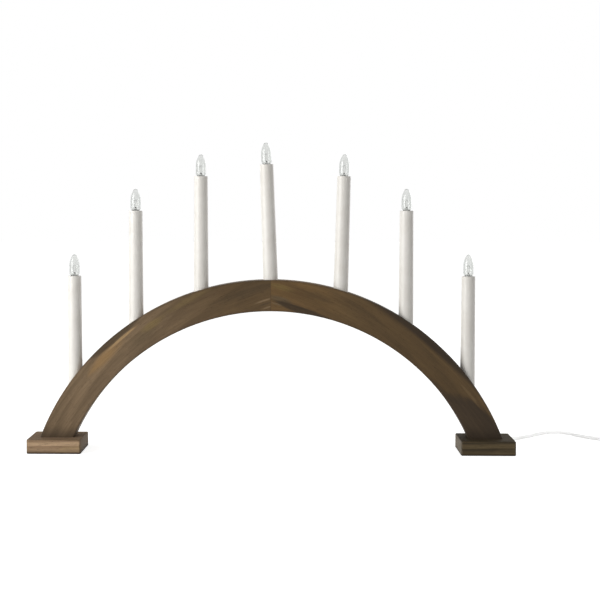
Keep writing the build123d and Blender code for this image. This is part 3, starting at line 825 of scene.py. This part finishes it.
rightFootBlock = {
    "middle": 0.27491,
    "tone": (0.125, 0.092, 0.049),
    "lineTone": (0.034, 0.026, 0.017),
    "paleTone": (0.135, 0.100, 0.052),
    "endTone": (0.205, 0.178, 0.138),
    "topPaintedShade": 0.46,
    "lowPaintedShade": 0.92,
    "pith": (-0.0229, 0.024),
}


def footEdge(tree, parts, shape):  # distance of the block's nearest edge
    fromSide = minus(tree, shape["halfWidth"], calc(tree, "ABSOLUTE", parts["X"]))
    fromFront = minus(tree, shape["halfDepth"], calc(tree, "ABSOLUTE", parts["Y"]))
    fromTop = minus(tree, shape["height"], parts["Z"])
    smallest = calc(tree, "MINIMUM", fromSide, calc(tree, "MINIMUM", fromFront, fromTop))
    total = plus(tree, fromSide, plus(tree, fromFront, fromTop))
    largest = calc(tree, "MAXIMUM", fromSide, calc(tree, "MAXIMUM", fromFront, fromTop))
    return minus(tree, total, plus(tree, smallest, largest))


def stainedFootWood(name, block, shape, stain):
    material, tree, shader = newMaterial(name, Specular_IOR_Level=stain["specular"])
    coords, place = grainSpace(tree, 0.0, (-block["middle"], 0, 0))
    figure = boardMarks(tree, place, block["pith"], stain["taper"], stain["ringSpacing"], stain["wander"])
    parts = split(tree, place)
    facingUp = split(tree, coords["Normal"])["Z"]
    tone = stainBy(tree, block["tone"], figure["Rings"], stain["ringShare"], block["lineTone"])
    pale = spread(tree, figure["Patches"], *stain["paleRange"])
    tone = stainBy(tree, tone, pale, stain["paleShare"], block["paleTone"])
    cut = endGrain(tree, coords["Normal"], (1, 0, 0))
    endTone = stainBy(tree, block["endTone"], figure["Rings"], stain["endRingShare"], block["lineTone"])
    tone = stainBy(tree, tone, cut, stain["endShare"], endTone)
    tone = shadeBy(tree, tone, spread(tree, figure["Fibre"], *noiseSpan, *stain["fibreRange"]))
    # painted shade: the top faces darker than the sides
    tone = shadeBy(tree, tone, spread(tree, facingUp, *stain["topFacing"], 1.0, block["topPaintedShade"]))
    # painted shade, darker towards the table
    tone = shadeBy(tree, tone, spread(tree, parts["Z"], *stain["lowShadeReach"], block["lowPaintedShade"], 1.0))
    # the low mark is a painted contact shadow at the bottom
    for part, distance in (("edge", footEdge(tree, parts, shape)), ("low", parts["Z"])):
        mask = fadeOut(tree, distance, *stain[part + "Reach"])
        tone = stainBy(tree, tone, mask, stain[part + "Share"], stain[part + "Tone"])
    gloss = timesPlus(tree, figure["Patches"], woodLook["patchGloss"], stain["roughness"])
    gloss = plus(tree, gloss, spread(tree, facingUp, *stain["topFacing"], 0.0, stain["topRoughness"]))
    gloss = timesPlus(tree, cut, stain["endRoughness"], gloss)
    woodSurface(tree, shader, figure, poreStain(tree, tone, figure), gloss)
    return material


dress(stainedFootWood("stainedFootLeft", leftFootBlock, footShape, footStain), "left_foot")
dress(stainedFootWood("stainedFootRight", rightFootBlock, footShape, footStain), "right_foot")
print("feet stained")


# Candle sleeves and the other moulded pieces

sleeveLook = {"tone": (0.870, 0.842, 0.790), "shade": (0.820, 0.787, 0.730), "gloss": 0.30, "scale": 45.0}
holderLook = {"tone": (0.780, 0.760, 0.700), "shade": (0.700, 0.670, 0.600), "gloss": 0.42, "scale": 120.0}
fittingLook = {"tone": (0.840, 0.835, 0.820), "shade": (0.770, 0.760, 0.735), "gloss": 0.38, "scale": 80.0}
flexLook = {"tone": (0.900, 0.900, 0.895), "shade": (0.850, 0.850, 0.845), "gloss": 0.45, "scale": 90.0}
wireLook = {"tone": (0.700, 0.685, 0.640), "shade": (0.610, 0.590, 0.540), "gloss": 0.45, "scale": 150.0}
coverLook = {"tone": (0.085, 0.056, 0.034), "shade": (0.055, 0.036, 0.022), "gloss": 0.52, "scale": 200.0}
insulatorLook = {"tone": (0.030, 0.026, 0.030), "shade": (0.020, 0.017, 0.020), "gloss": 0.18, "scale": 300.0}

softClouds = (0.35, 0.7)
lateClouds = (0.4, 0.7)
mouldedWear = {"clouds": softClouds, "scuff": 0.16, "mark": "Cloud", "relief": 0.00006, "strength": 0.35}


def cloudedMaterial(name, look, clouds, **plain):  # two tones in soft clouds, at the piece's own scale
    material, tree, shader = newMaterial(name, **plain)
    marks = useGroup(tree, handling, Place=objectPlace(tree), Scale=look["scale"])
    tone = blendTone(tree, spread(tree, marks["Cloud"], *clouds), look["tone"], look["shade"])
    feed(tree, shader.inputs["Base Color"], tone)
    return material, tree, shader, marks


def wornMaterial(name, look, wear, **plain):  # duller where it is scuffed
    material, tree, shader, marks = cloudedMaterial(name, look, wear["clouds"], **plain)
    gloss = timesPlus(tree, marks["Scuff"], wear["scuff"], look["gloss"])
    feed(tree, shader.inputs["Roughness"], gloss)
    bumpInto(tree, shader, marks[wear["mark"]], wear["relief"], wear["strength"])
    return material


def mouldedPlastic(name, look):
    return wornMaterial(name, look, mouldedWear)


flex.data.materials.append(mouldedPlastic("flexSheath", flexLook))
dress(mouldedPlastic("sleeveWhite", sleeveLook), *everyCandle("candle_sleeve"))
dress(mouldedPlastic("holderIvory", holderLook), *everyCandle("lampholder"))
dress(mouldedPlastic("fittingWhite", fittingLook), "cord_bushing", "coil_tie", "plug_body")
dress(mouldedPlastic("leadInsulation", wireLook), "series_wires", "return_wire")
dress(mouldedPlastic("grooveStrip", coverLook), "groove_cover")
print("mouldings coloured")


# Metal pieces

nickelLook = {"tone": (0.66, 0.64, 0.60), "shade": (0.48, 0.46, 0.42), "gloss": 0.26, "scale": 220.0}
brassLook = {"tone": (0.72, 0.53, 0.24), "shade": (0.50, 0.36, 0.17), "gloss": 0.32, "scale": 220.0}
screwLook = {"tone": (0.60, 0.58, 0.52), "shade": (0.42, 0.40, 0.36), "gloss": 0.38, "scale": 220.0}
solderLook = {"tone": (0.60, 0.60, 0.59), "shade": (0.44, 0.44, 0.43), "gloss": 0.36, "scale": 220.0}

metalWear = {"clouds": lateClouds, "scuff": 0.25, "mark": "Scuff", "relief": 0.00003, "strength": 0.3}


def wornMetal(name, look):
    return wornMaterial(name, look, metalWear, Metallic=1.0)


nickel = wornMetal("nickelPlate", nickelLook)
dress(nickel, "socket_shells", "plug_pins")
dress(wornMetal("brassContact", brassLook), *everyCandle("centre_contact"))
print("metal finished")


# Wood screws that hold the feet, driven up from below

screwShape = {
    "headRadius": 0.004,
    "neckRadius": 0.002,
    "headFace": 0.0006,  # sunk this far above the table
    "end": 0.0346,
    "coreRadius": 0.0014,
    "crestRadius": 0.0020,
    "pitch": 0.0018,
    "threadStart": 0.0105,
    "pointLength": 0.0042,
    "spacing": 0.016,
    "slotLength": 0.0046,
    "slotWidth": 0.0009,
    "slotDepth": 0.0012,
}
screwShape["outerPlace"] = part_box("foot_screws")[1][0] - screwShape["headRadius"]

screwBuild = {
    "headSides": 40,
    "slotTurns": (30, 120),  # degrees
    "around": 25,
    "along": 150,
    "shankStart": 0.8,  # share of the head's depth
    "shankCap": 0.02,  # share of its outline that closes the lower end
    "threadSharpness": 3.0,
}


def screwHead(tree, given, headDepth, build):  # countersunk head with a cross recess
    face = atHeight(tree, given["Head Face"])
    head = cone(tree, build["headSides"], given["Neck Radius"], given["Head Radius"], headDepth)
    inputs = {"Mesh 1": moved(tree, head, face)}
    cut = addNode(tree, "GeometryNodeMeshBoolean", inputs, operation="DIFFERENCE")
    size = combine(tree, given["Slot Length"], given["Slot Width"], times(tree, given["Slot Depth"], 2.0))
    for degrees in build["slotTurns"]:
        bar = result(tree, "GeometryNodeMeshCube", {"Size": size})
        bar = moved(tree, bar, face, (0, 0, math.radians(degrees)))
        tree.links.new(bar, cut.inputs["Mesh 2"])
    return cut.outputs["Mesh"]


def screwShank(tree, given, headDepth, build):  # plain neck, thread and point
    grid, turn, share = turnedSkin(tree, build["around"], build["along"])
    neck = plus(tree, given["Head Face"], times(tree, headDepth, build["shankStart"]))
    height = spread(tree, share, build["shankCap"], 1.0, neck, given["End"], smooth=False)
    wave = calc(tree, "POWER", threadWave(tree, turn, height, given["Pitch"]), build["threadSharpness"])
    fullThread = plus(tree, given["Thread Start"], given["Pitch"])
    wave = times(tree, wave, spread(tree, height, given["Thread Start"], fullThread))
    proud = minus(tree, given["Crest Radius"], given["Core Radius"])
    radius = timesPlus(tree, wave, proud, given["Core Radius"])
    radius = plus(tree, radius, spread(tree, height, neck, given["Thread Start"], proud, 0.0))
    pointStart = minus(tree, given["End"], given["Point Length"])
    radius = times(tree, radius, fadeOut(tree, height, pointStart, given["End"], smooth=False))
    radius = times(tree, radius, spread(tree, share, 0.0, build["shankCap"], smooth=False))
    return wrapSkin(tree, grid, turn, radius, height)


def growScrews(look, build, metal):
    tree, given, out = newForm("footScrews", look)
    headDepth = minus(tree, given["Head Radius"], given["Neck Radius"])
    head = screwHead(tree, given, headDepth, build)
    screw = joined(tree, head, screwShank(tree, given, headDepth, build))
    rows = []
    for side in (-1.0, 1.0):  # two screws in each foot, the outer one first
        start = combine(tree, times(tree, given["Outer Place"], side), 0, 0)
        step = combine(tree, times(tree, given["Spacing"], -side), 0, 0)
        inputs = {"Count": 2, "Start Location": start, "Offset": step}
        rows.append(result(tree, "GeometryNodeMeshLine", inputs))
    inputs = {"Points": joined(tree, *rows), "Instance": screw}
    screws = result(tree, "GeometryNodeInstanceOnPoints", inputs)
    feed(tree, out["Geometry"], painted(tree, screws, metal))
    return tree


screwForm = growScrews(screwShape, screwBuild, wornMetal("zincScrew", screwLook))
screws = growPiece("foot_wood_screws", screwForm, {})
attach(screws, "stand")
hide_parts("foot_screws")
print("screws driven")


# Screw caps of the bulbs: rolled thread, insulating cone and solder tip

capShape = {
    "crestRadius": 0.0047,
    "rootRadius": 0.00435,
    "pitch": 0.00181,
    "top": -0.0016,  # heights count from the sleeve's rim
    "length": 0.0105,
    "collar": 0.0016,  # plain band above the thread
    "runOut": 0.0008,  # thread fading into the collar
    "runIn": 0.0010,  # and into the lower end
    "cupRadius": 0.0042,
    "cupDepth": 0.0041,
    "coneHeight": 0.0018,
    "coneRadius": 0.0025,
    "tipRadius": 0.0017,
    "tipHeight": 0.0010,
}

capBuild = {
    "around": 49,
    "along": 110,
    "outline": (0.03, 0.72, 0.76, 0.94),  # shares at which floor, wall, lip and cup end
    "coneSides": 40,
    "tipFacets": (24, 14),
}


def capShell(tree, given, bottom, build):  # closed below, threaded outside, with a cup for the bulb's neck
    grid, turn, share = turnedSkin(tree, build["around"], build["along"])
    floor, wall, lip, cup = build["outline"]
    height = spread(tree, share, floor, wall, bottom, given["Top"], smooth=False)
    collarFoot = minus(tree, given["Top"], given["Collar"])
    plain = spread(tree, height, minus(tree, collarFoot, given["Run Out"]), collarFoot)
    wave = calc(tree, "MAXIMUM", threadWave(tree, turn, height, given["Pitch"]), plain)
    wave = times(tree, wave, spread(tree, height, bottom, plus(tree, bottom, given["Run In"])))
    proud = minus(tree, given["Crest Radius"], given["Root Radius"])
    radius = timesPlus(tree, wave, proud, given["Root Radius"])
    radius = times(tree, radius, spread(tree, share, 0.0, floor, smooth=False))
    lipWidth = minus(tree, given["Crest Radius"], given["Cup Radius"])
    radius = minus(tree, radius, spread(tree, share, wall, lip, 0.0, lipWidth, smooth=False))
    radius = minus(tree, radius, spread(tree, share, cup, 1.0, 0.0, given["Cup Radius"], smooth=False))
    height = minus(tree, height, spread(tree, share, lip, cup, 0.0, given["Cup Depth"], smooth=False))
    return wrapSkin(tree, grid, turn, radius, height)


def growCap(look, build, shell, insulator, solder):
    tree, given, out = newForm("screwCap", {"lean": 0.0, **look}, ["Rim Place"])
    bottom = minus(tree, given["Top"], given["Length"])
    shellMesh = painted(tree, capShell(tree, given, bottom, build), shell)
    coneFoot = atHeight(tree, minus(tree, bottom, given["Cone Height"]))
    under = cone(tree, build["coneSides"], given["Root Radius"], given["Cone Radius"], given["Cone Height"])
    coneMesh = painted(tree, moved(tree, under, coneFoot), insulator)
    size = combine(tree, given["Tip Radius"], given["Tip Radius"], given["Tip Height"])
    drop = moved(tree, ball(tree, *build["tipFacets"], 1.0), coneFoot, size=size)
    dropMesh = painted(tree, smoothed(tree, drop), solder)
    feed(tree, out["Geometry"], atRim(tree, given, joined(tree, shellMesh, coneMesh, dropMesh)))
    return tree


capForm = growCap(
    capShape, capBuild, nickel, mouldedPlastic("capInsulator", insulatorLook),
    wornMetal("capSolder", solderLook),
)
fitBulbs("threaded_cap", capForm, "bulb_cap")
print("caps threaded")


# Beech biscuit hidden in the crown joint

biscuitLook = {
    "specular": 0.3,
    "grainTurn": 35.0,  # degrees
    "ringSpacing": 0.0016,
    "wander": 0.004,
    "tone": (0.56, 0.38, 0.22),
    "ringTone": (0.43, 0.28, 0.16),
    "fibreRange": (0.86, 1.1),
    "roughness": (0.6, 0.75),
    "relief": 0.0001,
    "reliefShare": 0.5,
}


def biscuitBeech(look):
    material, tree, shader = newMaterial("biscuitBeech", Specular_IOR_Level=look["specular"])
    place = grainSpace(tree, look["grainTurn"])[1]
    figure = useGroup(tree, boardFigure, Place=place, Ring_Spacing=look["ringSpacing"], Wander=look["wander"])
    tone = blendTone(tree, figure["Rings"], look["tone"], look["ringTone"])
    tone = shadeBy(tree, tone, spread(tree, figure["Fibre"], *noiseSpan, *look["fibreRange"]))
    feed(tree, shader.inputs["Base Color"], tone)
    gloss = spread(tree, figure["Patches"], *noiseSpan, *look["roughness"])
    feed(tree, shader.inputs["Roughness"], gloss)
    bumpInto(tree, shader, figure["Fibre"], look["relief"], look["reliefShare"])
    return material


dress(biscuitBeech(biscuitLook), "crown_biscuit")


# Bulbs: clear glass over a bead, two leads and a filament

glassLook = {
    "tone": (0.935, 0.938, 0.932),
    "shade": (0.905, 0.910, 0.902),
    "gloss": (0.01, 0.05),
    "scale": 150.0,
    "refraction": 1.46,
    "depthTone": (0.80, 0.81, 0.80, 1.0),
    "depthDensity": 1250.0,
}
stemLook = {"tone": (0.76, 0.76, 0.75), "shade": (0.66, 0.66, 0.65), "gloss": (0.12, 0.25), "scale": 500.0}
beadLook = {"tone": (0.15, 0.145, 0.14), "shade": (0.105, 0.1, 0.096), "gloss": (0.12, 0.25), "scale": 500.0}
leadLook = {"tone": (0.62, 0.61, 0.58), "shade": (0.46, 0.45, 0.43), "gloss": (0.30, 0.50), "scale": 400.0}
coilLook = {"tone": (0.32, 0.31, 0.30), "shade": (0.24, 0.23, 0.22), "gloss": (0.35, 0.55), "scale": 400.0}

pressedIndex = 1.5
glassSpan = (0.3, 0.8)  # clouds over which glass goes from clear to dull
scuffSpan = (0.0, 1.0)


def glossyMaterial(name, look, clouds, mark, span, **plain):  # its gloss goes with one of its marks
    material, tree, shader, marks = cloudedMaterial(name, look, clouds, **plain)
    feed(tree, shader.inputs["Roughness"], spread(tree, marks[mark], *span, *look["gloss"]))
    return material


def clearGlass(look):
    plain = {"Transmission_Weight": 1.0, "IOR": look["refraction"]}
    material = glossyMaterial("bulbGlass", look, lateClouds, "Cloud", glassSpan, **plain)
    tree = material.node_tree
    inputs = {"Color": look["depthTone"], "Density": look["depthDensity"]}
    depth = result(tree, "ShaderNodeVolumeAbsorption", inputs)
    tree.links.new(depth, tree.nodes["Material Output"].inputs["Volume"])
    return material


def mountMetal(name, look):
    return glossyMaterial(name, look, softClouds, "Scuff", scuffSpan, Metallic=1.0)


def pressedGlass(name, look):
    return glossyMaterial(name, look, softClouds, "Cloud", glassSpan, IOR=pressedIndex)


dress(clearGlass(glassLook), *everyCandle("bulb_glass"))

mountShape = {
    "stemRadius": 0.00345,
    "stemFoot": -0.0056,  # heights count from the sleeve's rim
    "stemTop": 0.0032,
    "stemShoulder": 0.62,  # share of its height from which the stem narrows
    "beadRadius": 0.0013,
    "leadRadius": 0.00016,
    "leadSpacing": 0.0036,
    "leadHeight": 0.0120,
    "coilTurns": 16.0,
    "coilRadius": 0.00028,
    "coilWire": 0.00005,
    "coilBow": 0.0012,
}

mountBuild = {
    "stemRows": 20,
    "stemSides": 28,
    "beadFacets": (24, 16),
    "leadSides": 10,
    "leadFoot": 0.5,  # share of the bead's radius
    "coilSteps": 12,
    "wireSides": 6,
}


def mountStem(tree, given, top, build):
    post = line(tree, atHeight(tree, given["Stem Foot"]), top)
    post = result(tree, "GeometryNodeResampleCurve", {"Curve": post, "Count": build["stemRows"]})
    share = tree.nodes.new("GeometryNodeSplineParameter").outputs["Factor"]
    girth = spread(tree, share, given["Stem Shoulder"], 1.0, given["Stem Radius"], given["Bead Radius"])
    return tube(tree, post, girth, build["stemSides"])


def mountLead(tree, given, halfSpan, side, build):
    inset = times(tree, given["Bead Radius"], side * build["leadFoot"])
    low = combine(tree, inset, 0.0, given["Stem Top"])
    high = combine(tree, times(tree, halfSpan, side), 0.0, given["Lead Height"])
    return tube(tree, line(tree, low, high), given["Lead Radius"], build["leadSides"])


def mountCoil(tree, given, halfSpan, build):  # fine helix from lead to lead, bowed upwards
    coil = result(tree, "GeometryNodeCurveSpiral", {
        "Resolution": build["coilSteps"], "Rotations": given["Coil Turns"], "Height": given["Lead Spacing"],
        "Start Radius": given["Coil Radius"], "End Radius": given["Coil Radius"],
    })
    start = combine(tree, times(tree, halfSpan, -1.0), 0.0, given["Lead Height"])
    coil = moved(tree, coil, start, (0, math.pi / 2, 0))
    here = split(tree, result(tree, "GeometryNodeInputPosition"))
    reach = calc(tree, "DIVIDE", here["X"], halfSpan)
    lift = times(tree, minus(tree, 1.0, times(tree, reach, reach)), given["Coil Bow"])
    coil = result(tree, "GeometryNodeSetPosition", {"Geometry": coil, "Offset": atHeight(tree, lift)})
    return tube(tree, coil, given["Coil Wire"], build["wireSides"])


def growMount(look, build, stem, bead, lead, filament):
    tree, given, out = newForm("bulbMount", {"lean": 0.0, **look}, ["Rim Place"])
    top = atHeight(tree, given["Stem Top"])
    halfSpan = times(tree, given["Lead Spacing"], 0.5)
    drop = ball(tree, *build["beadFacets"], given["Bead Radius"])
    meshes = [
        painted(tree, mountStem(tree, given, top, build), stem),
        painted(tree, moved(tree, drop, top), bead),
        *(painted(tree, mountLead(tree, given, halfSpan, side, build), lead) for side in (-1.0, 1.0)),
        painted(tree, mountCoil(tree, given, halfSpan, build), filament),
    ]
    feed(tree, out["Geometry"], atRim(tree, given, smoothed(tree, joined(tree, *meshes))))
    return tree


mountForm = growMount(
    mountShape, mountBuild, pressedGlass("mountStem", stemLook), pressedGlass("mountBead", beadLook),
    mountMetal("mountLead", leadLook), mountMetal("mountWire", coilLook),
)
fitBulbs("filament_mount", mountForm, "bulb_mount")
print("bulbs finished")
